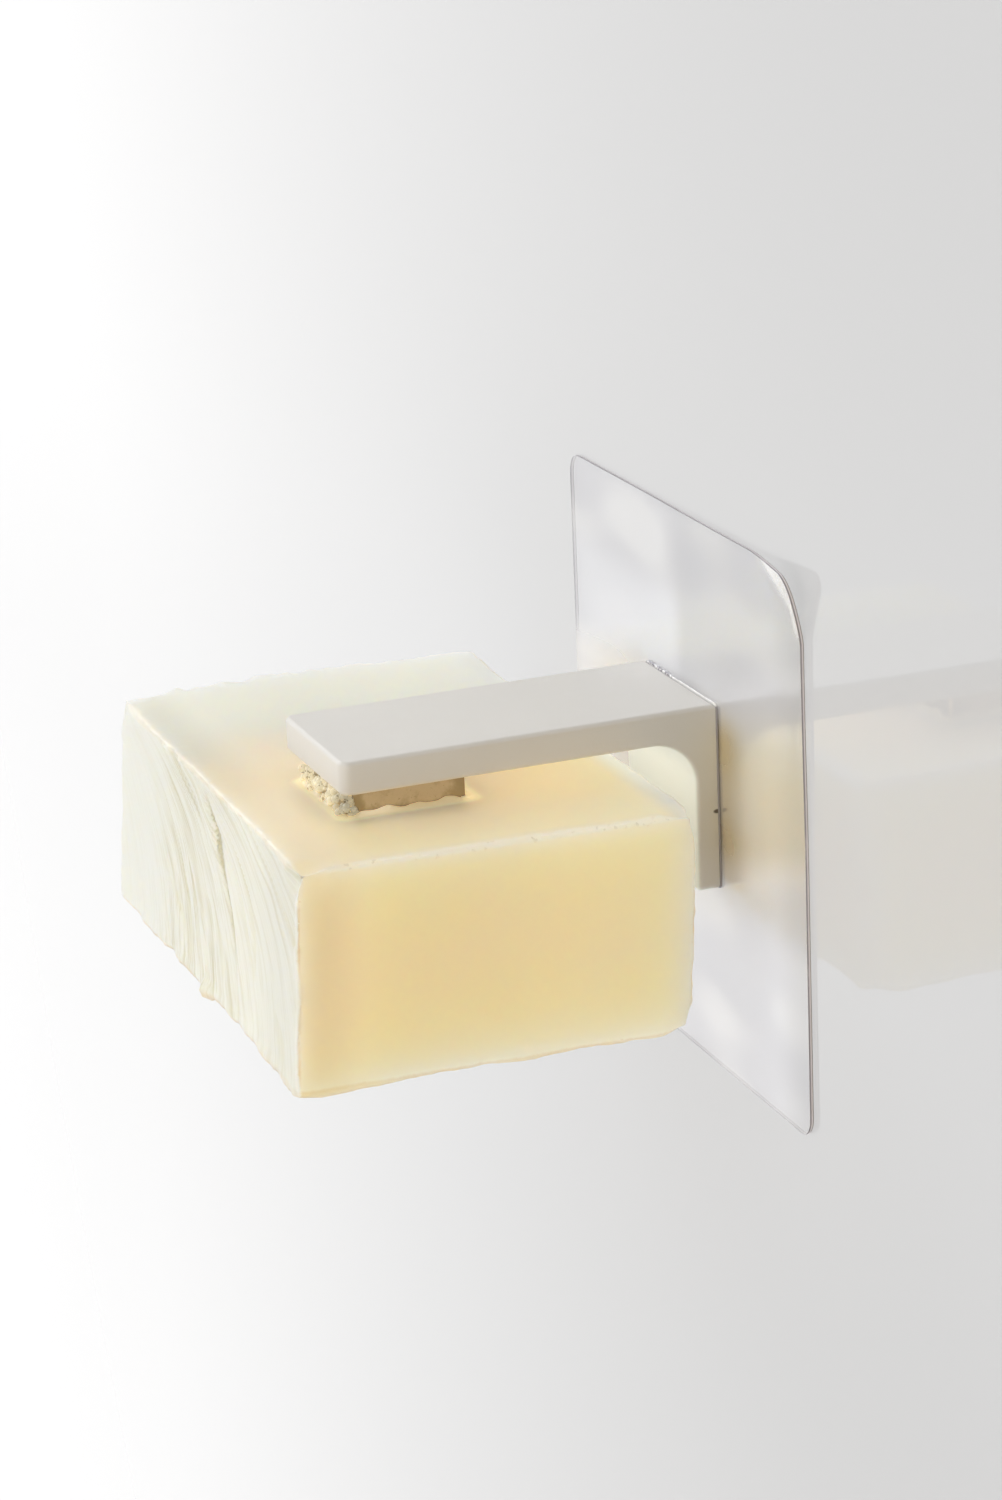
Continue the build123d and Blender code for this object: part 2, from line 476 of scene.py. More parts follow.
def clear_film():
    """Clear film: mostly see-through, mirrored at a slant, with soft smears and fine ripples.

    Its tint and its faint glow change by zones round the leg, all painted light: painted warm and amber
    reflections of the soap and leg beside the leg, painted shade above the arm and towards its edge at +x, a
    painted glow below the leg and, with a cool tint, at the upper left, and a painted white highlight along
    the curled corner. Their borders lean, so they follow z - 0.3 x.
    """
    shop = Shop("clear_film")
    smears = shop.clouds(15 * MM, 0, 0.4, shop.stretched((0.5, 1, 1.2), (0, 0.2, 0)))
    ripples = shop.clouds(22 * MM, 0, 0.3, shop.stretched((0.5, 1, 1)))
    orange_peel = shop.clouds(2.2 * MM, 2)
    soft = shop.bump(ripples, 0.5 * MM)
    slant = shop.facing(0.5, Normal=soft)
    thick = shop.ramp(smears, 0.36, 0.66)
    fold_highlight = shop.stored("fold_highlight")

    x, y, z = shop.axes()
    leaning = z - 0.3 * x
    # Painted reflection of the soap and leg: warm beside the leg, amber in the strip next to it, where the
    # film also mirrors more.
    by_leg = shop.ramp(x, 12 * MM, 20 * MM) * shop.ramp(leaning, 14 * MM, 4 * MM)
    by_leg = by_leg * shop.ramp(leaning, -20 * MM, -11 * MM)
    at_leg = shop.ramp(x, 30 * MM, 17 * MM) * shop.ramp(z, -15 * MM, -12 * MM)
    at_leg = at_leg * shop.ramp(z, 21 * MM, 12 * MM)
    # Painted shade above the arm and towards the film's edge at +x.
    above = shop.ramp(leaning, 14 * MM, 22 * MM) * shop.ramp(x, -10 * MM, 4 * MM)
    outside = shop.ramp(x, 35 * MM, 49 * MM)
    # Painted glow below the leg and at the upper left, where the film is also tinted cool.
    below = shop.ramp(leaning, -11 * MM, -19 * MM) * (1 - 0.8 * outside)
    left = shop.ramp(x, 2 * MM, -6 * MM) * shop.ramp(z, 38 * MM, 30 * MM)

    tint = rgba(settings().film.tint)
    tint = shop.layered(tint, (thick, FILM_SMEAR), (by_leg, FILM_WARM_REFLECTION), (0.9 * at_leg, FILM_AMBER_REFLECTION))
    tint = shop.scaled(tint, 1 - 0.18 * above - 0.22 * outside)
    # Painted highlight: white along the curled corner's edge.
    tint = shop.layered(tint, (0.8 * left, FILM_COOL_LIGHT), (fold_highlight, WHITE))
    body = shop.principled(
        base_color=tint,
        emission_color=shop.scaled(FILM_GLOW, 0.10 * (1.2 * below).most(0.9 * left)),
        emission_strength=1.0,
        metallic=0.6,
        roughness=0.20 + 0.05 * thick - 0.1 * fold_highlight,
        normal=shop.bump(orange_peel, 0.01 * MM, 0.6, soft),
    )
    share = 0.40 + 0.14 * thick + 0.9 * slant ** 5.0 + 0.6 * fold_highlight + 0.3 * at_leg
    return shop.show(shop.veil(share, body))


def film_edge():
    """The laminate's cut edge: a dark front line, the pinkish film and the paler gel behind it."""
    shop = Shop("film_cut_edge")
    own = settings().film
    layer = shop.stored("layer")
    threads = shop.clouds(7 * MM, 4, 0.7)
    front = shop.ramp(layer, 0.40, 0.60, 1.0, 0.0)
    back = shop.ramp(layer, 1.40, 1.60)
    line = front.most(0.9 * back) * shop.ramp(threads, 0.28, 0.48, 0.6, 1.0)
    gel = shop.ramp(layer, 1.0, 1.2)
    colour = shop.layered(rgba(own.edge_tint), (gel, GEL_EDGE), (line, rgba(own.edge_tint, 0.35)))
    return shop.show(shop.veil(0.85 + 0.15 * line, shop.principled(base_color=colour, roughness=0.35)))


def bead_gel():
    """Glue squeezed out of the tape: pale and glossy, with a few dark bubbles, painted shade at its rims
    where it turns from the eye, and painted shade on its sides beside the leg.
    """
    shop = Shop("squeezed_glue")
    threads = shop.clouds(1.1 * MM, 3, 0.6)
    x, y, z = shop.axes()
    on_top = shop.ramp(z, TAPE_HIGH[2], TAPE_HIGH[2] + 0.5 * MM)
    holes = shop.ramp(threads, 0.46, 0.52) * shop.ramp(x, 1 * MM, -7 * MM) * on_top
    # Painted shade: darker at the rims where the bead turns from the eye, and everywhere below its top
    # beside the leg.
    rim = 0.5 * shop.ramp(shop.facing(0.4), 0.35, 0.75)
    dark = holes.most(rim).most(0.9 * (1 - on_top))
    colour = shop.blend(dark, GLUE_PALE, rgba(settings().arm.tape, 0.5))
    return shop.show(shop.principled(base_color=colour, roughness=0.12, coat_weight=0.6))


def clear_adhesive():
    """Tacky gel: clear, with a few trapped air bubbles."""
    shop = Shop("clear_adhesive")
    sockets = {"Vector": shop.place(), "Scale": 1 / (7 * MM), "Randomness": 1.0}
    cells = shop.node("ShaderNodeTexVoronoi", sockets=sockets, output="Distance")
    bubble = shop.ramp(cells, 0.05, 0.10, 1.0, 0.0)
    patchy = shop.ramp(shop.clouds(18 * MM, 2), 0.52, 0.62)
    gel = shop.principled(base_color=GEL_HAZE, roughness=0.3)
    return shop.show(shop.veil(0.04 + 0.10 * bubble * patchy, gel))


def nickel_plate():
    """Bright nickel with fine tumbling marks."""
    shop = Shop("nickel_plate")
    marks = shop.clouds(0.4 * MM, 5, 0.7)
    return shop.show(shop.principled(
        base_color=shop.blend(marks, NICKEL_DULL, NICKEL_BRIGHT),
        metallic=1.0,
        roughness=0.18 + 0.2 * marks,
        normal=shop.bump(marks, 0.01 * MM),
    ))


def wet_steel():
    """Steel sheet that stands in wet soap: rolled grain, tide marks and darker stains near its foot."""
    shop = Shop("wet_steel")
    own = settings().cap
    x, y, z = shop.axes()
    grain = shop.clouds(0.25 * MM, 3, 0.6, shop.stretched((1, 1, 9)))
    stains = shop.clouds(2.6 * MM, 5, 0.65)
    specks = shop.ramp(shop.clouds(0.8 * MM, 3, 0.7), 0.60, 0.72)
    foot = shop.ramp(z, BAR_HIGH[2] + 2.0 * MM, BAR_HIGH[2] - 0.3 * MM)
    corner = 0.50
    for from_middle in (x.size(), (y - (CAP_LOW[1] + CAP_HIGH[1]) / 2).size()):
        corner = corner * shop.ramp(from_middle, CAP_HIGH[0] - 4.5 * MM, CAP_HIGH[0] - 0.8 * MM)
    # Darker in noisy stains, towards the foot where the soap stands, and towards the cap's corners.
    worn = shop.ramp(stains + 0.25 * foot + corner, 0.50, 0.86)
    dark = (worn * 0.75).most(specks * 0.6)
    colour = shop.layered(rgba(own.steel, 0.86), (grain, rgba(own.steel)), (dark, rgba(own.stain)))
    return shop.show(shop.principled(
        base_color=colour,
        metallic=0.5 - 0.3 * worn,
        roughness=0.36 + 0.2 * stains,
        coat_weight=0.3 * foot,
        normal=shop.bump(grain + stains, 0.05 * MM, 0.6),
    ))


def bar_planes(shop):
    """Distances inwards from the bar's near end, far end, outer side, back and foot, for its finish."""
    own = settings().bar
    x, y, z = shop.axes()
    height = (z - BAR_LOW[2]) / (BAR_HIGH[2] - BAR_LOW[2])
    depth = (y - BAR_LOW[1]) / (BAR_HIGH[1] - BAR_LOW[1])
    taper = own.skew * depth - 0.5 * own.foot_growth * height
    near = BAR_HIGH[0] - own.skew - x + taper
    far = x - BAR_LOW[0]
    outer = y - BAR_LOW[1] - own.lean * height
    back = BAR_HIGH[1] - own.lean + own.lean * height - y
    return near, far, outer, back, z - BAR_LOW[2]


def knife_arcs(shop):
    """Which of the knife's paths a point is on, a little wavy."""
    x, y, z = shop.axes()
    turned = (-1 * (BAR_HIGH[2] - z) / SWEEP_DROP).power_of_e()
    path = x + SWEEP_REACH * turned + 5 * MM * shop.clouds(22 * MM, 2)
    return shop.node("ShaderNodeCombineXYZ", sockets={0: path, 1: 0.08 * z, 2: 0.3 * y})


def pale_soap_and_edge_light(shop, edge, outer, back, foot):
    """How pale the clear soap is: in clouds at random, and near its sides, edges, foot and back as painted
    light coming in through them.
    """
    cloudy = shop.clouds(20 * MM, 3, 0.5)
    thin_and_lit = 0.35 * shop.ramp(cloudy, 0.35, 0.75)
    for share, distance, starts, full in (
        (0.75, outer + 5 * MM * (cloudy - 0.5), 17 * MM, 6 * MM),
        (0.70, edge, 4.5, 0.4),
        (0.65, foot, 13 * MM, 1 * MM),
        (0.65, back, 9 * MM, 1 * MM),
    ):
        thin_and_lit = thin_and_lit.most(share * shop.ramp(distance, starts, full))
    return thin_and_lit


def knife_finish(shop, ragged):
    """Colour of the cut face, with painted shade in the hollows between its knife marks and in its crease
    and a painted highlight on the crease's ridge, and the height of its marks for the bump.
    """
    own = settings().bar
    x, y, z = shop.axes()
    arcs = knife_arcs(shop)
    fine = shop.clouds(0.8 * MM, 3, 0.55, arcs)
    broad = shop.clouds(2.4 * MM, 2, 0.5, arcs)
    spread = (x - MARKS_CENTRE) / (26 * MM)
    lined = 0.15 + 0.85 * (-1 * spread * spread).power_of_e()
    zone = shop.ramp(x, -52 * MM, -38 * MM)
    marks = 0.6 * lined * shop.ramp(fine, 0.46, 0.62)
    marks = marks + (0.1 + 0.3 * zone) * shop.ramp(broad, 0.46, 0.66)

    below = BAR_HIGH[2] - z
    swung = CREASE_SWING * (1 - (-1 * below / CREASE_DROP).power_of_e())
    from_crease = x - CREASE_START - swung + 1.2 * MM * (ragged - 0.5)
    reach = shop.ramp(below, 1 * MM, 6 * MM) * shop.ramp(below, 31 * MM, 17 * MM, 0.15, 1.0)
    crease = reach * shop.ramp((from_crease - 0.3 * MM).size(), 1.1 * MM, 0.2 * MM)
    ridge = reach * shop.ramp(from_crease, 0.6 * MM, 1.6 * MM) * shop.ramp(from_crease, 7 * MM, 2.5 * MM)
    # Painted shade and highlight: the hollows and the crease darker, the crease's ridge lighter.
    colour = shop.layered(
        rgba(own.crest),
        (marks, rgba(own.hollow)),
        (0.6 * (1 - zone), CUT_FAR),
        (0.6 * ridge, CUT_RIDGE_HIGHLIGHT),
        (0.75 * crease, CUT_CREASE_SHADE),
    )
    return colour, lined * fine + (0.2 + 0.6 * zone) * broad - 1.2 * crease


def soap(name, scatter_share, scatter_depth, relief):
    """Clear yellow soap: whitened where it has dried or been cut and, as painted light, on the sides that
    face the lamps; pale in clouds, and at its edges as painted light; with painted shade in its knife marks
    and painted light round the cap.
    """
    shop = Shop(name)
    own = settings().bar
    bloom_and_light, knife_shade_and_cap_light, cut, edge = (shop.stored(mark) for mark in ("bloom_and_light", "knife_shade_and_cap_light", "cut", "edge"))
    planes = bar_planes(shop)
    near, far, outer, back, foot = planes
    whole = 1 - cut
    mottle = shop.clouds(3 * MM, 4, 0.6)
    ragged = shop.clouds(1.6 * MM, 3, 0.6)
    patchy = shop.clouds(6 * MM, 3, 0.6)

    thin_and_lit = pale_soap_and_edge_light(shop, edge, outer, back, foot)
    knifed, marks = knife_finish(shop, ragged)
    # Whiter still towards the far end, partly where the soap has dried and partly as painted light.
    dried = shop.blend(shop.ramp(far, 45 * MM, 15 * MM), rgba(own.bloom_and_light), DRIED_AND_LIT_FAR)
    white = shop.blend(cut, dried, knifed)
    rim = shop.ramp(edge + 1.4 * (ragged - 0.5), 1.5, 0.5)
    top = BAR_HIGH[2] - BAR_LOW[2]
    on_top = shop.ramp(foot, top - 1.2 * MM, top - 0.5 * MM)
    strip = shop.ramp(near, 1.6 * MM, 0.9 * MM) * cut
    chipped = shop.ramp(ragged, 0.60, 0.68) * rim * on_top * shop.ramp(near, 4 * MM, 1.5 * MM)
    amber = [share * part for share, part in zip(AMBER_SHARES, own.heart)]
    colour = shop.layered(
        rgba(own.heart),
        (thin_and_lit, rgba(own.peach)),
        (bloom_and_light + 0.12 * mottle - 0.06, white),
        # Painted shade in the knife's hollows on the cut face, and painted light round the cap's foot.
        (0.7 * knife_shade_and_cap_light * cut, CUT_HOLLOW_SHADE),
        (knife_shade_and_cap_light * whole, RING_LIT_YELLOW),
        (rim * on_top * (0.2 + 0.8 * patchy), EDGE_PALE),
        (0.7 * strip, CUT_STRIP),
        (edge_line(shop, planes, ragged, patchy, on_top) * (1 - 0.8 * cut), rgba(amber)),
        (0.7 * chipped, CHIP_BROWN),
    )
    shade = 0.20 * shop.ramp(outer, 12 * MM, 1 * MM) * whole + 0.09 * shop.ramp(near, 30 * MM, 10 * MM) * cut
    colour = shop.scaled(colour, 1 - shade)
    # Painted glow: the light that the clear soap carries, stronger and yellow round the cap's foot.
    glow = shop.blend(knife_shade_and_cap_light * whole, shop.scaled(colour, shop.stored("carried")), RING_GLOW)
    skin = shop.bump(mottle, 0.10 * MM, 0.35)
    return shop.show(shop.principled(
        base_color=colour,
        roughness=0.34 + 0.10 * bloom_and_light + 0.08 * mottle,
        normal=shop.bump(cut * marks, relief, 1.0, skin),
        emission_color=glow,
        emission_strength=1.0,
        subsurface_weight=scatter_share,
        subsurface_radius=(1.0, 0.8, 0.5),
        subsurface_scale=scatter_depth,
        ior=1.45,
        coat_weight=0.12,
        coat_roughness=0.25,
    ))


def edge_line(shop, planes, ragged, patchy, on_top):
    """The amber line along the bar's low edges and its near end's upright ones, with a few nicks."""
    near, far, outer, back, foot = planes
    x, y, z = shop.axes()
    wobble = 0.5 * MM * (ragged - 0.5)
    on_end = shop.ramp(near, 0.7 * MM, 0.3 * MM) * (1 - shop.stored("cut"))
    fuller = MM * shop.ramp(x, *FULLER)
    low_line = 0.9 * shop.ramp(foot + wobble, 1.1 * MM, 0.4 * MM)
    back_line = on_end * shop.ramp(back + wobble, 0.8 * MM, 0.2 * MM) * shop.ramp(patchy, 0.40, 0.58)
    outer_line = on_end * shop.ramp(outer + wobble + fuller, 0.8 * MM, 0.3 * MM)
    outer_line = outer_line * shop.ramp(patchy, 0.35, 0.55, 0.2, 0.8)
    nicks = 0.6 * shop.ramp(ragged, 0.64, 0.72) * shop.ramp(shop.stored("edge"), 1.6, 0.6) * (1 - on_top)
    return low_line.most(back_line).most(outer_line).most(nicks)


def froth_skin():
    """Soap bubbles: cream shells, clearer in front, with painted shade at their rims and towards the cap's
    near corner, and a painted glow.
    """
    shop = Shop("froth_skin")
    rim = shop.facing(0.45)
    shine = shop.clouds(0.5 * MM, 2)
    patches = shop.clouds(2.2 * MM, 2)
    crumbs = shop.clouds(0.7 * MM, 2)
    painted_rim_shade = shop.ramp(rim, 0.45, 0.75) * shop.ramp(patches, 0.52, 0.60)
    dark_crumbs = shop.ramp(crumbs, 0.57, 0.61) * shop.ramp(patches, 0.48, 0.54)
    dark = 0.9 * painted_rim_shade.most(dark_crumbs)
    x, y, z = shop.axes()
    shaded = shop.ramp(x, CAP_HIGH[0] - 6 * MM, CAP_HIGH[0] - 1 * MM)
    colour = shop.layered(FROTH_CREAM, (shine, FROTH_PALE), (dark, FROTH_DARK))
    # Painted shade towards the cap's near corner.
    colour = shop.scaled(colour, 1 - 0.35 * shaded)
    shell = shop.principled(
        base_color=shop.scaled(colour, 0.85),
        roughness=0.30 + 0.1 * shine,
        # Painted glow that lifts the bubbles' shade.
        emission_color=shop.scaled(colour, 0.22),
        emission_strength=1.0,
        subsurface_weight=0.6,
        subsurface_radius=(1.0, 0.95, 0.85),
        subsurface_scale=1.5 * MM,
    )
    return shop.show(shop.veil(0.55 + 0.4 * rim, shell))


# Modelling steps


def deselect():
    bpy.ops.object.select_all(action="DESELECT")


def take(name):
    """Names the primitive that was just added, and puts its place into its mesh."""
    piece = bpy.context.object
    piece.name = name
    piece.data.name = name
    bpy.ops.object.transform_apply(location=True, rotation=True, scale=True)
    return piece


def alone(piece):
    """Selects one piece and nothing else."""
    deselect()
    piece.select_set(True)
    bpy.context.view_layer.objects.active = piece


def pick(piece, kind, wanted):
    """Selects the piece's vertices, edges or faces for which wanted(centre, normal) is true."""
    modes = {"VERT": (True, False, False), "EDGE": (False, True, False), "FACE": (False, False, True)}
    bpy.context.tool_settings.mesh_select_mode = modes[kind]
    bpy.ops.mesh.select_all(action="DESELECT")
    mesh = bmesh.from_edit_mesh(piece.data)
    items = {"VERT": mesh.verts, "EDGE": mesh.edges, "FACE": mesh.faces}[kind]
    for item in items:
        if kind == "VERT":
            item.select = wanted(item.co, item.normal)
        elif kind == "EDGE":
            first, second = (corner.co for corner in item.verts)
            item.select = wanted((first + second) / 2, (second - first).normalized())
        else:
            item.select = wanted(item.calc_center_median(), item.normal)
    mesh.select_flush_mode()
    bmesh.update_edit_mesh(piece.data)


def edit():
    bpy.ops.object.mode_set(mode="EDIT")


def leave():
    bpy.ops.object.mode_set(mode="OBJECT")


def modify(piece, kind, **choices):
    """Adds a modifier with its settings and applies it."""
    alone(piece)
    added = piece.modifiers.new(kind.lower(), kind)
    for name, value in choices.items():
        setattr(added, name, value)
    bpy.ops.object.modifier_apply(modifier=added.name)


def smooth(piece, angle=40):
    alone(piece)
    bpy.ops.object.shade_smooth_by_angle(angle=math.radians(angle))


def coat(piece, *materials):
    piece.data.materials.clear()
    for material in materials:
        piece.data.materials.append(material)


def coat_node(node, material):
    """Gives a fixed part its finish."""
    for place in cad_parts[node].material_slots:
        place.material = material


def rise(value, low, high):
    """0 below low, 1 above high, smooth between."""
    share = min(1.0, max(0.0, (value - low) / (high - low)))
    return share * share * (3 - 2 * share)


def wander(point, size, seed=0.0):
    """Smooth noise from -1 to 1 whose features are about size metres across."""
    return noise.noise(Vector(point) / size + Vector((seed, 2.7 * seed, 5.1 * seed)))


# Film


def curl_share(x, z, own):
    """How far across the loose corner a point lies: 0 at the line where it bends, 1 at its tip."""
    lean = Vector((0.507, 0.862))
    centre = FILM_HIGH[0] - own.corner_radius
    tip = centre * (lean.x + lean.y) + own.corner_radius
    return max(0.0, 1 - (tip - lean.dot((x, z))) / own.curl_reach)


def film_offset(x, z, own):
    """How far the film stands off its flat place: its curled corner, loose edges and shallow ripples."""
    half = FILM_HIGH[0]
    curl = own.curl_height * curl_share(x, z, own) ** 1.3
    side = rise(x, half - 7 * MM, half) * (0.3 + 0.7 * rise(z, 0, 30 * MM))
    top = rise(z, half - 7 * MM, half) * rise(x, -20 * MM, 20 * MM)
    curl += own.edge_lift * max(side, top)
    from_leg = max(abs(x) - ARM_HIGH[0], ARM_LOW[2] - z, z - ARM_HIGH[2])
    waves = own.ripple * (wander((0.45 * x, 0, z), 14 * MM, 3.1) - 1) * rise(from_leg, 0, 6 * MM)
    return curl, waves


class SOAPHOLDER_OT_film(bpy.types.Operator):
    """Clear film with round corners and a curled corner, laminated to its smaller layer of gel"""

    bl_idname = "soapholder.film"
    bl_label = "Film"

    def execute(self, context):
        film = self.laminate()
        own = settings().film
        coat(film, clear_film(), film_edge(), clear_adhesive())
        self.mark_layers(film)
        self.mark_fold_highlight(film, own)
        for vertex in film.data.vertices:
            curl, waves = film_offset(vertex.co.x, vertex.co.z, own)
            vertex.co.y = min(GEL_HIGH[1], vertex.co.y - waves) - curl
        smooth(film, 20)
        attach(film, "holder")
        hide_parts("film_sheet", "film_adhesive")
        return {"FINISHED"}

    def laminate(self):
        """The flat film, and the gel raised from its back."""
        half = FILM_HIGH[0]
        thickness = FILM_HIGH[1] - FILM_LOW[1]
        middle = (FILM_HIGH[1] + FILM_LOW[1]) / 2
        deselect()
        bpy.ops.mesh.primitive_grid_add(
            x_subdivisions=96, y_subdivisions=96, size=2 * half,
            location=(0, middle, 0), rotation=(math.pi / 2, 0, 0),
        )
        film = take("film_laminate")
        for vertex in film.data.vertices:
            round_corner(vertex.co, half, settings().film.corner_radius)
        modify(film, "SOLIDIFY", thickness=thickness, offset=0)
        edit()
        pick(film, "FACE", lambda centre, normal: normal.y < -0.5)
        bpy.ops.mesh.region_to_loop()
        bpy.ops.mesh.bevel(offset=0.12 * MM, segments=2)
        pick(film, "FACE", lambda centre, normal: normal.y > 0.5)
        bpy.ops.mesh.inset(thickness=0.1 * MM)
        bpy.ops.mesh.extrude_region_move(
            TRANSFORM_OT_translate={"value": (0, GEL_HIGH[1] - FILM_HIGH[1], 0)}
        )
        leave()
        return film

    def mark_layers(self, film):
        """Front, joint and back of the laminate for its edge, and one finish for each side."""
        layer = film.data.attributes.new("layer", "FLOAT", "POINT")
        faces = {FILM_LOW[1]: 0.0, FILM_HIGH[1]: 1.0, GEL_HIGH[1]: 2.0}
        for index, vertex in enumerate(film.data.vertices):
            nearest = min(faces, key=lambda place: abs(place - vertex.co.y))
            layer.data[index].value = faces[nearest]
        for face in film.data.polygons:
            flat = abs(face.normal.y) > 0.9
            on_back = flat and face.normal.y > 0
            face.material_index = 2 if on_back else int(not flat)

    def mark_fold_highlight(self, film, own):
        """Where the film gets a painted highlight near the curled corner's edge, standing in for the bright
        reflection on its bend.
        """
        fold_highlight = film.data.attributes.new("fold_highlight", "FLOAT", "POINT")
        for index, vertex in enumerate(film.data.vertices):
            x, z = vertex.co.x, vertex.co.z
            beside = rise(x, FILM_HIGH[0] - 3.4 * MM, FILM_HIGH[0] - 1.6 * MM) * rise(z, 38 * MM, 42 * MM)
            fold_highlight.data[index].value = max(rise(curl_share(x, z, own), 0.24, 0.55), beside)


def round_corner(point, half, radius):
    """Moves a point of a square sheet so that the square's corner becomes an arc."""
    across = (abs(point.x) - (half - radius)) / radius
    up = (abs(point.z) - (half - radius)) / radius
    if across <= 0 or up <= 0:
        return
    scale = max(across, up) / math.hypot(across, up)
    point.x = math.copysign(half - radius + radius * across * scale, point.x)
    point.z = math.copysign(half - radius + radius * up * scale, point.z)


# Arm, lid, magnet and tape


class SOAPHOLDER_OT_arm(bpy.types.Operator):
    """Finishes of the moulded arm, its lid, the magnet and the tape, and the tape's squeezed-out bead"""

    bl_idname = "soapholder.arm"
    bl_label = "Arm"

    def execute(self, context):
        white = moulded_white()
        coat_node("arm", white)
        coat_node("magnet_lid", white)
        coat_node("magnet", nickel_plate())
        grey = tape_grey()
        coat_node("bonding_tape", grey)
        bead = self.bead()
        coat(bead, bead_gel())
        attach(bead, "holder")
        return {"FINISHED"}

    def bead(self):
        """Glue squeezed out all round the leg: a slab with round edges and an uneven outline."""
        low, high = Vector(TAPE_LOW), Vector(TAPE_HIGH)
        middle = (low + high) / 2
        spill = 0.70 * MM
        thickness = 0.92 * (high.y - low.y)
        size = (high.x - low.x + 2 * spill, thickness, high.z - low.z + 2 * spill)
        deselect()
        bpy.ops.mesh.primitive_cube_add(size=1, location=middle, scale=size)
        bead = take("squeezed_glue")
        edit()
        pick(bead, "EDGE", lambda centre, along: abs(along.y) > 0.9)
        bpy.ops.mesh.bevel(offset=1.2 * MM, segments=4, affect="EDGES")
        pick(bead, "EDGE", lambda centre, along: max(abs(along.x), abs(along.z)) > 0.995)
        bpy.ops.mesh.subdivide(number_cuts=70)
        for side in (-1, 1):
            pick(bead, "FACE", lambda centre, normal: side * normal.y > 0.9)
            bpy.ops.mesh.region_to_loop()
            bpy.ops.mesh.bevel(offset=0.42 * thickness, segments=3)
        leave()
        for vertex in bead.data.vertices:
            place = vertex.co
            out = Vector((place.x / size[0], 0, (place.z - middle.z) / size[2]))
            out = Vector((round(2.02 * out.x), 0, round(2.02 * out.z)))
            on_top = rise(place.z, high.z, high.z + 0.3 * MM)
            lumps = wander(place, 1.1 * MM, 1.0) * (0.6 + 0.6 * on_top * rise(-place.x, 4 * MM, 12 * MM))
            vertex.co += out * (0.14 * lumps + 0.10 * wander(place, 5 * MM, 2.0)) * MM
        smooth(bead, 60)
        return bead


# Cap and froth


class SOAPHOLDER_OT_cap(bpy.types.Operator):
    """Finish of the toothed steel cap, and the froth along its foot"""

    bl_idname = "soapholder.cap"
    bl_label = "Cap"

    def execute(self, context):
        coat_node("soap_cap", wet_steel())
        froth = self.froth()
        coat(froth, froth_skin())
        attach(froth, "soap")
        return {"FINISHED"}

    def froth(self):
        """Beads of many sizes heaped along the cap's outer wall, joined into one piece."""
        beads = []
        corner = Vector((CAP_HIGH[0], CAP_LOW[1], BAR_HIGH[2]))
        for number in range(settings().cap.froth_count):
            size = (0.35 + 0.55 * noise.random() ** 2) * MM
            if number % 5:
                across = CAP_LOW[0] + (CAP_HIGH[0] - CAP_LOW[0]) * noise.random()
                climb = 3.6 * MM * noise.random()
                out = size * (0.2 + 0.4 * noise.random()) + 0.14 * (3.6 * MM - climb)
                place = Vector((across, CAP_LOW[1] - out, BAR_HIGH[2] + 0.35 * size + climb))
            else:
                along = 2.2 * MM * noise.random() ** 2
                climb = 4.2 * MM * noise.random() * (1 - along / (2.5 * MM))
                place = corner + Vector((0.1 * size, along - 0.3 * size, 0.3 * size + climb))
            deselect()
            bpy.ops.mesh.primitive_ico_sphere_add(subdivisions=2, radius=size, location=place)
            beads.append(bpy.context.object)
        deselect()
        for bead in beads:
            bead.select_set(True)
        bpy.context.view_layer.objects.active = beads[0]
        bpy.ops.object.join()
        froth = take("soap_froth")
        smooth(froth, 80)
        return froth


# Bar


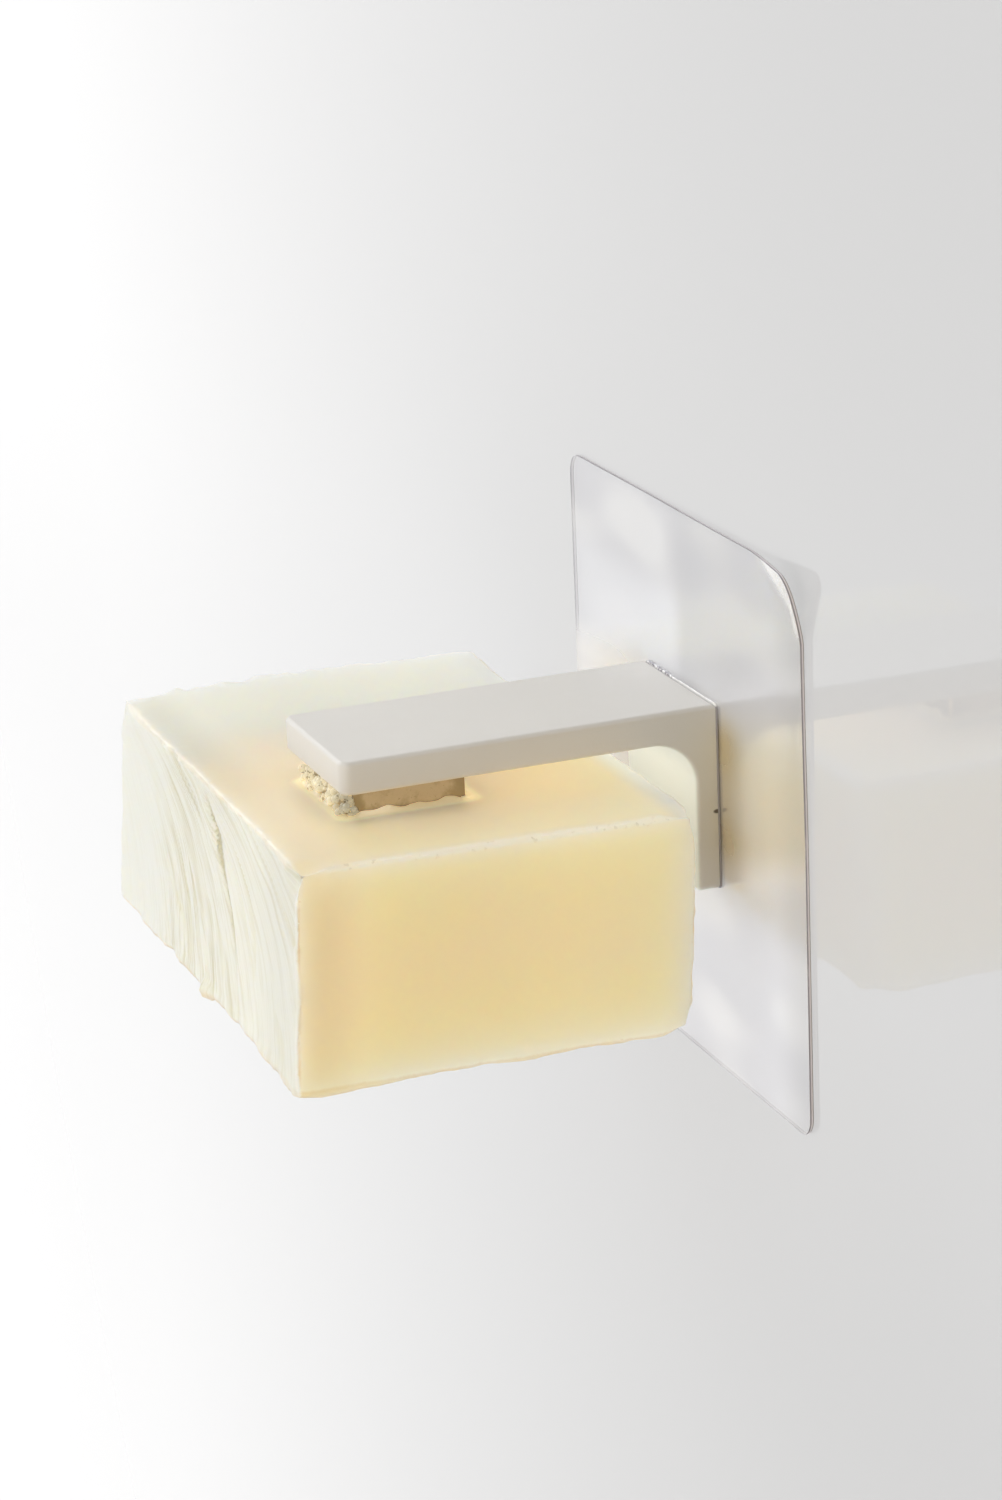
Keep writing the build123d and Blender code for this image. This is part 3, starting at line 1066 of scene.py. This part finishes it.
class SOAPHOLDER_OT_bar(bpy.types.Operator):
    """Hand-cut bar: skewed block with worn edges, knife marks, and slots where the cap has bitten"""

    bl_idname = "soapholder.bar"
    bl_label = "Bar"

    def execute(self, context):
        bar = self.block()
        self.refine(bar)
        self.carve(bar)
        self.cut_slots(bar)
        coat(
            bar,
            soap("glycerine_soap", 1.0, 36 * MM, 0.1 * MM),
            soap("knife_cut_soap", 0.5, 7 * MM, 0.35 * MM),
        )
        for face in bar.data.polygons:
            place = face.center
            on_outer = side_distances(place)[1] < 2.5 * MM and place.z < BAR_HIGH[2] - 0.3 * MM
            face.material_index = int(face.normal.y < -0.6 and on_outer)
        smooth(bar, 50)
        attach(bar, "soap")
        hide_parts("soap_bar")
        return {"FINISHED"}

    def block(self):
        """The skewed block with rounded edges, as an even mesh."""
        own = settings().bar
        low = Vector(BAR_LOW)
        high = Vector(BAR_HIGH)
        middle = (low + high) / 2
        deselect()
        bpy.ops.mesh.primitive_cube_add(size=1, location=middle, scale=high - low)
        bar = take("bar_of_soap")
        edit()
        shifts = (
            (lambda co: co.y < middle.y, (-own.skew / 2, 0, 0)),
            (lambda co: co.y > middle.y, (own.skew / 2, 0, 0)),
            (lambda co: co.z > middle.z and co.y < middle.y, (0, own.lean, 0)),
            (lambda co: co.z < middle.z and co.y > middle.y, (0, -own.lean, 0)),
            (lambda co: co.z > middle.z and co.x < middle.x, (own.foot_growth / 2, 0, 0)),
            (lambda co: co.z > middle.z and co.x > middle.x, (-own.foot_growth / 2, 0, 0)),
            (lambda co: co.x < middle.x, (own.skew / 2, 0, 0)),
            (lambda co: co.x > middle.x, (-own.skew / 2, 0, 0)),
        )
        for wanted, shift in shifts:
            pick(bar, "VERT", lambda co, normal: wanted(co))
            bpy.ops.transform.translate(value=shift)
        pick(bar, "EDGE", lambda centre, along: True)
        bpy.ops.mesh.bevel(offset=own.edge_radius, segments=3, affect="EDGES")
        leave()
        modify(bar, "REMESH", mode="VOXEL", voxel_size=own.mesh_size)
        return bar

    def refine(self, bar):
        """Smaller faces round the cap's foot, where the soap has crept up."""
        edit()
        centre = (Vector(CAP_LOW) + Vector(CAP_HIGH)) / 2
        reach = (CAP_HIGH[0] - CAP_LOW[0]) / 2

        def near_foot(place, normal):
            ring = max(abs(place.x - centre.x), abs(place.y - centre.y)) - reach
            return normal.z > 0.5 and -2 * MM < ring < 3 * MM

        pick(bar, "FACE", near_foot)
        bpy.ops.mesh.subdivide(number_cuts=1)
        bpy.ops.mesh.quads_convert_to_tris()
        leave()

    def carve(self, bar):
        """Moves the skin along its normals, and keeps how white it is, partly as painted light, where it
        gets painted shade in the knife's hollows and painted light round the cap's foot, and more for its
        finish.
        """
        mesh = bar.data
        names = ("bloom_and_light", "knife_shade_and_cap_light", "cut", "edge", "carried")
        for name in names:
            mesh.attributes.new(name, "FLOAT", "POINT")
        stores = [mesh.attributes[name].data for name in names]
        places = [vertex.co.copy() for vertex in mesh.vertices]
        normals = [vertex.normal.copy() for vertex in mesh.vertices]
        for index, (place, normal) in enumerate(zip(places, normals)):
            move, marks = carve_at(place, normal)
            mesh.vertices[index].co = place + move
            for store, mark in zip(stores, marks):
                store[index].value = mark

    def cut_slots(self, bar):
        """One slot for each wall of the cap's skirt."""
        centre = (Vector(CAP_LOW) + Vector(CAP_HIGH)) / 2
        reach = (CAP_HIGH[0] - CAP_LOW[0]) / 2
        sheet = 0.8 * MM
        gap = 0.12 * MM
        top = BAR_HIGH[2] + 3 * MM
        foot = CAP_LOW[2] - gap
        for turn in range(4):
            angle = turn * math.pi / 2
            out = Vector((math.sin(angle), -math.cos(angle), 0)) * (reach - sheet / 2)
            deselect()
            bpy.ops.mesh.primitive_cube_add(
                size=1,
                location=(centre.x + out.x, centre.y + out.y, (top + foot) / 2),
                rotation=(0, 0, angle),
                scale=(2 * reach - 2.4 * MM + 2 * gap, sheet + 2 * gap, top - foot),
            )
            cutter = take("skirt_cutter")
            modify(bar, "BOOLEAN", operation="DIFFERENCE", object=cutter, solver="EXACT")
            bpy.data.objects.remove(cutter)


def side_distances(place):
    """Distances inwards from the bar's sides: along the wall, out from it, and up."""
    own = settings().bar
    height = (place.z - BAR_LOW[2]) / (BAR_HIGH[2] - BAR_LOW[2])
    depth = (place.y - BAR_LOW[1]) / (BAR_HIGH[1] - BAR_LOW[1])
    skewed = place.x - own.skew * (depth - 0.5)
    inset = own.skew / 2 + own.foot_growth / 2 * height
    across = min(skewed - BAR_LOW[0] - inset, BAR_HIGH[0] - inset - skewed)
    front = place.y - BAR_LOW[1] - own.lean * height
    back = BAR_HIGH[1] - own.lean * (1 - height) - place.y
    up = min(place.z - BAR_LOW[2], BAR_HIGH[2] - place.z)
    return across, front, back, up


def carve_at(place, normal):
    """The move of one point of the bar's skin, and what its finish needs to know there:

    its whiteness share, partly painted light; its share of painted shade in the knife's hollows and of
    painted light round the cap; its cut share, its edge distance, and the light that the clear soap carries
    to it.
    """
    sides = side_distances(place)
    across, front, back, up = sides
    from_edge = sorted((abs(across), abs(min(front, back)), abs(up)))[1]
    outer = rise(-normal.y, 0.55, 0.85)
    top = rise(normal.z, 0.6, 0.9)
    mark, dark = knife_marks(place)
    ring, crept = cap_lip(place)

    depth = wear(place, sides, from_edge) + outer * mark + ragged_far_top(place, normal)
    calm = 1 - top * (1 - rise(ring, 1.5 * MM, 5 * MM))
    move = normal * depth * calm + growth(place, front)
    move.z += crept * top

    # Painted light round the cap's foot, which lifts the shade there.
    clear = 0.8 * top * (1 - rise(ring, 0.3 * MM, 3.2 * MM))
    return move, (
        whitened(place, normal, outer, ring, back),
        max(outer * dark, clear),
        outer,
        min(8.0, from_edge / MM),
        carried(place, normal, front, ring, back),
    )


def wear(place, sides, from_edge):
    """How far the skin stands out by its swell, its chipped and lipped edges and its lost corners."""
    across, front, back, up = sides
    worn = 1 - rise(from_edge, 0, 3.2 * MM)
    swell = 0.30 * wander(place, 38 * MM, 1.0) + 0.10 * wander(place, 9 * MM, 2.0)
    chips = worn * (0.26 * wander(place, 4.5 * MM, 3.0) + 0.20 * wander(place, 1.8 * MM, 4.0) + 0.05)
    foot = 0.0
    if place.z < 0:
        foot = 0.30 + 0.55 * wander((place.x, place.y, 0), 9 * MM, 6.0)
        foot *= worn * (1 - rise(up, 0, 4 * MM))
    to_lump = Vector((place.x + 18 * MM, 0.7 * (place.y - BAR_LOW[1]), place.z - BAR_LOW[2])).length
    lump = 1.2 * (1 - rise(to_lump, 0.6 * MM, 3.2 * MM))
    lip = 0.0
    if place.x > 0 and place.z > 0 and abs(across) < 3 * MM:
        lip = (1 - rise(from_edge, 0.2 * MM, 1.3 * MM)) * (0.6 + 0.8 * wander(place, 6 * MM, 15.0))
    from_corner = Vector((across, min(front, back), up)).length
    lost, spread = CORNER_LOSS.get((place.x > 0, place.z > 0, front < back), (0.0, 1 * MM))
    lost *= 1 - rise(from_corner, 0.5 * MM, spread)
    return MM * (swell + chips + foot + lump + 0.25 * max(0.0, lip)) - lost


def ragged_far_top(place, normal):
    """Waves of the skin along the far end's top edge."""
    far = rise(-normal.x, 0.2, 0.7) + (1 - rise(place.x - BAR_LOW[0], 2 * MM, 7 * MM))
    ragged = min(1.0, far * rise(place.z, BAR_HIGH[2] - 5 * MM, BAR_HIGH[2]))
    return 0.45 * MM * ragged * wander(place, 6 * MM, 5.0)


def growth(place, front):
    """How much longer the bar is at its far end, fuller and deeper at its near one, and torn at its top."""
    from_end = place.x - BAR_LOW[0]
    upper = rise(place.z, 0, BAR_HIGH[2])
    torn = 0.85 * wander(place, 5 * MM, 13.0) + 0.80 * wander(place, 2.2 * MM, 14.0) + 0.15
    torn *= 1 - rise(from_end, 3 * MM, 6 * MM)
    raised = 1.2 * (1 - rise(from_end, 2 * MM, 18 * MM)) * (0.6 + 0.4 * rise(front, 5 * MM, 30 * MM))
    longer = 1.3 * (1 - rise(from_end, 0, 20 * MM))
    fuller = (1 - rise(front, 0, 12 * MM)) * rise(place.x, *FULLER)
    sunk = 0.9 * (1 - rise(front, 0, 25 * MM)) * rise(place.x, 8 * MM, 35 * MM)
    sunk *= rise(-place.z, 5 * MM, -BAR_LOW[2])
    return MM * Vector((-longer, -fuller, upper * (torn + raised) - sunk))


def whitened(place, normal, outer, ring, back):
    """How white the skin is: on its cut outer side, along the top at the far end and at the wall, and on its
    far end, foot and back; partly the soap's own whitening where it was cut and has dried, partly painted
    light on the sides that face the lamps.
    """
    on_top = rise(normal.z, 0.3, 0.8)
    from_far = place.x - BAR_LOW[0] + 4 * MM * wander(place, 14 * MM, 10.0)
    return max(
        outer,
        0.95 * (1 - rise(from_far, 24 * MM, 64 * MM)) * on_top * rise(ring, 0, 8 * MM),
        0.9 * (1 - rise(back, 1 * MM, 6 * MM)) * on_top,
        0.9 * rise(-normal.x, 0.3, 0.8),
        0.5 * rise(-normal.z, 0.3, 0.8),
        0.1 * rise(normal.y, 0.3, 0.8),
    )


def carried(place, normal, front, ring, back):
    """Light that the clear soap carries to its skin.

    To its top it comes beside the arm, at the wall and round the cap.
    """
    beside_arm = (1 - rise(place.x, 8 * MM, 30 * MM)) * rise(place.x, -18 * MM, 0)
    at_wall = 1 - rise(back, 1 * MM, 5 * MM)
    round_cap = 1 - rise(ring, 0.3 * MM, 3.2 * MM)
    return max(
        0.04 * rise(front, 25 * MM, 55 * MM) + 0.05 * rise(front, 55 * MM, 70 * MM),
        0.05 * rise(normal.y, 0.3, 0.8),
        rise(normal.z, 0.3, 0.8) * (0.08 * beside_arm + 0.13 * at_wall + 0.30 * round_cap),
    )


def knife_marks(place):
    """Depth of the knife's broad arcs and its one deep crease on the outer side, and the darkness of the
    painted shade in the crease and the shallow hollows.
    """
    below = BAR_HIGH[2] - place.z
    path = place.x + SWEEP_REACH * math.exp(-below / SWEEP_DROP)
    path += 2.5 * MM * wander(place, 22 * MM, 8.0)
    fine = noise.noise(Vector((path / (1.8 * MM), place.z / (30 * MM), 0)))
    broad = noise.noise(Vector((path / (5 * MM), place.z / (60 * MM), 9.0)))
    ripple = noise.noise(Vector((path / (11 * MM), place.z / (25 * MM), 4.0)))
    shallow = rise(ripple, 0.22, 0.30) * (1 - rise(ripple, 0.30, 0.50))
    from_crease = place.x - CREASE_START - CREASE_SWING * (1 - math.exp(-below / CREASE_DROP))
    from_crease += 0.5 * MM * wander(place, 5 * MM, 16.0)
    length = rise(below, 1 * MM, 5 * MM) * (1 - 0.8 * rise(below, 17 * MM, 30 * MM))
    valley = length * max(0.0, 1 - abs(from_crease) / (0.9 * MM))
    ridge = length * rise(-from_crease, 0, 1.6 * MM) * (1 - rise(-from_crease, 1.6 * MM, 10 * MM))
    lined = 0.3 + 0.9 * math.exp(-((place.x - MARKS_CENTRE) / (24 * MM)) ** 2)
    zone = 0.3 + 0.7 * rise(place.x, -58 * MM, -40 * MM)
    depth = 0.22 * fine * lined + 0.42 * broad * zone - 0.25 * shallow * zone - 0.25 * valley + 0.7 * ridge
    return depth * MM, max(0.5 * valley, 0.35 * shallow * zone)


def cap_lip(place):
    """Distance outside the cap's skirt, and how far the soap has crept up there."""
    centre = (Vector(CAP_LOW) + Vector(CAP_HIGH)) / 2
    reach = (CAP_HIGH[0] - CAP_LOW[0]) / 2
    over_x = abs(place.x - centre.x) - reach
    over_y = abs(place.y - centre.y) - reach
    ring = max(over_x, over_y)
    if min(over_x, over_y) > 0:
        ring = math.hypot(over_x, over_y)
    close = 1 - rise(abs(ring), 0.2 * MM, 1.4 * MM)
    uneven = 0.45 + 0.7 * wander(place, 3.5 * MM, 11.0) + 0.1 * wander(place, 1.2 * MM, 12.0)
    return ring, (close * max(0.0, uneven) * 1.2 * MM if ring > -0.4 * MM else 0.0)


# Stage


def wall_gloss(own):
    """Glossy pale panel, clear from behind so that the holder's back can be seen."""
    shop = Shop("wall_gloss")
    x, y, z = shop.axes()
    drift = shop.clouds(0.3, 2)
    # Painted light and shade on the wall: lighter towards the left (-x) and darker towards the bottom.
    lighter = shop.ramp(x, 0.10, -0.45)
    colour = shop.blend(lighter + 0.05 * drift, rgba(own.wall), rgba(own.wall, 1.36))
    colour = shop.scaled(colour, shop.ramp(z, -0.12, 0.02, 0.93, 1.0))
    glowing = own.wall_glow * shop.ray("Camera")
    panel = shop.principled(
        base_color=shop.blend(glowing, colour, BLACK),
        emission_color=shop.blend(glowing, BLACK, colour),
        emission_strength=0.85,
        roughness=0.03,
        ior=1.6,
    )
    behind = shop.node("ShaderNodeNewGeometry", output="Backfacing")
    return shop.show(shop.veil(1 - behind, panel))


def floor_pale():
    """Pale matt floor with a faint texture, which glows in the wall's gloss."""
    shop = Shop("floor_pale")
    matt = shop.principled(base_color=shop.blend(shop.clouds(0.05, 4), *FLOOR_SHADES), roughness=0.7)
    glow = shop.node("ShaderNodeEmission", sockets={"Color": WHITE, "Strength": 1.0})
    share = 0.9 * shop.ray("Glossy") + 0.4 * shop.ray("Camera")
    return shop.show(shop.node("ShaderNodeMixShader", sockets={0: share, 1: matt, 2: glow}))


def studio_air():
    """White air that lights less than it shows, and lights warmly from the holder's near side."""
    shop = Shop("studio_air", world=True)
    shown = shop.ray("Camera").most(shop.ray("Transmission")).most(shop.ray("Glossy"))
    direction = shop.node("ShaderNodeTexCoord", output="Generated")
    near = shop.node("ShaderNodeSeparateXYZ", sockets={0: direction})
    near = shop.node("ShaderNodeMapRange", sockets={0: near, 1: -0.1, 2: 0.8})
    lit = shop.node("ShaderNodeMath", {"operation": "SUBTRACT", "use_clamp": True}, {0: near, 1: shown})
    strength = shop.node("ShaderNodeMapRange", sockets={0: shown, 3: 0.47, 4: 1.0})
    sockets = {"Color": shop.blend(lit, WHITE, WARM_AIR), "Strength": strength}
    return shop.show(shop.node("ShaderNodeBackground", sockets=sockets))


def pass_light(piece):
    """Lets the lamps' light pass a piece, as if the clear soap round it carried the light on."""
    passing = bpy.data.collections["passes_light"]
    passing.objects.link(piece)
    passing.collection_objects[-1].light_linking.link_state = "EXCLUDE"


def soft_lamp(name, place, target, size, power, colour):
    """A square soft box aimed at a point, whose light some pieces don't stop."""
    deselect()
    bpy.ops.object.light_add(type="AREA", location=place)
    lamp = bpy.context.object
    lamp.name = name
    lamp.data.energy = power
    lamp.data.size = size
    lamp.data.color = colour
    lamp.light_linking.blocker_collection = bpy.data.collections["passes_light"]
    aim = Vector(target) - Vector(place)
    lamp.rotation_euler = aim.to_track_quat("-Z", "Y").to_euler()


def camera_axes(own):
    """The camera's right, up and back directions, with its roll."""
    across = math.cos(own.elevation)
    back = Vector((
        math.sin(own.azimuth) * across,
        -math.cos(own.azimuth) * across,
        math.sin(own.elevation),
    ))
    right = (-back).cross(Vector((0, 0, 1))).normalized()
    up = right.cross(-back)
    turn = own.roll
    rolled = math.cos(turn) * right + math.sin(turn) * up
    return rolled, math.cos(turn) * up - math.sin(turn) * right, back


class SOAPHOLDER_OT_stage(bpy.types.Operator):
    """Camera, soft lamps, glossy wall and pale floor"""

    bl_idname = "soapholder.stage"
    bl_label = "Stage"

    def execute(self, context):
        own = settings().studio
        self.camera(own)
        self.surfaces(own)
        self.lamps()
        context.scene.world = studio_air()
        context.scene.view_settings.view_transform = "Standard"
        return {"FINISHED"}

    def camera(self, own):
        right, up, back = camera_axes(own)
        place = own.aim[0] * right + own.aim[1] * up + own.distance * back
        deselect()
        bpy.ops.object.camera_add()
        camera = bpy.context.object
        camera.name = "photo_camera"
        turn = Matrix((right, up, back)).transposed().to_4x4()
        camera.matrix_world = Matrix.Translation(place) @ turn
        camera.data.lens = own.lens
        camera.data.sensor_width = 36
        camera.data.clip_start = 0.01
        bpy.context.scene.camera = camera

    def surfaces(self, own):
        deselect()
        bpy.ops.mesh.primitive_plane_add(
            size=12, location=(0, 0.1 * MM, 6 - own.floor_drop), rotation=(math.pi / 2, 0, 0)
        )
        wall = take("wall_panel")
        coat(wall, wall_gloss(own))
        deselect()
        bpy.ops.mesh.primitive_plane_add(size=12, location=(0, -6 + 0.1 * MM, -own.floor_drop))
        floor = take("floor")
        coat(floor, floor_pale())

    def lamps(self):
        target = (-0.01, -0.04, 0.0)
        bpy.data.collections.new("passes_light")
        for node in ("arm", "magnet_lid", "soap_cap"):
            pass_light(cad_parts[node])
        not_warmed = bpy.data.collections.new("not_warmed")
        not_warmed.objects.link(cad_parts["arm"])
        not_warmed.collection_objects[0].light_linking.link_state = "EXCLUDE"
        for name, place, size, power, colour in (
            ("window", (0.30, -1.15, 0.75), 1.3, 6.6, (1.0, 0.99, 0.97)),
            ("far_bounce", (-0.95, -0.5, 0.75), 0.7, 5.5, (0.97, 0.99, 1.0)),
            ("warm_fill", (1.15, -0.35, 0.30), 1.0, 2.2, (1.0, 0.80, 0.42)),
            ("low_bounce", (0.2, -0.65, -0.48), 0.7, 3.5, (1.0, 0.98, 0.95)),
        ):
            soft_lamp(name, place, target, size, power, colour)
        warm_fill = bpy.data.objects["warm_fill"]
        warm_fill.light_linking.receiver_collection = not_warmed


class SOAPHOLDER_PT_panel(bpy.types.Panel):
    """Lists the holder's pieces and their settings"""

    bl_idname = "SOAPHOLDER_PT_panel"
    bl_label = "Soap holder"
    bl_space_type = "VIEW_3D"
    bl_region_type = "UI"
    bl_category = "Soap holder"

    def draw(self, context):
        for name in ("film", "arm", "cap", "bar", "studio"):
            box = self.layout.box()
            group = getattr(context.scene.soap_holder, name)
            for setting in group.__annotations__:
                box.prop(group, setting)
            box.operator("soapholder." + ("stage" if name == "studio" else name))


CLASSES = (
    FilmSettings,
    ArmSettings,
    CapSettings,
    BarSettings,
    StudioSettings,
    HolderSettings,
    SOAPHOLDER_OT_film,
    SOAPHOLDER_OT_arm,
    SOAPHOLDER_OT_cap,
    SOAPHOLDER_OT_bar,
    SOAPHOLDER_OT_stage,
    SOAPHOLDER_PT_panel,
)


def register():
    for each in CLASSES:
        bpy.utils.register_class(each)
    bpy.types.Scene.soap_holder = PointerProperty(type=HolderSettings)


def unregister():
    del bpy.types.Scene.soap_holder
    for each in reversed(CLASSES):
        bpy.utils.unregister_class(each)


def main():
    register()
    noise.seed_set(7)
    bpy.ops.soapholder.stage()
    bpy.ops.soapholder.film()
    bpy.ops.soapholder.arm()
    bpy.ops.soapholder.cap()
    bpy.ops.soapholder.bar()


if __name__ == "__main__":
    main()
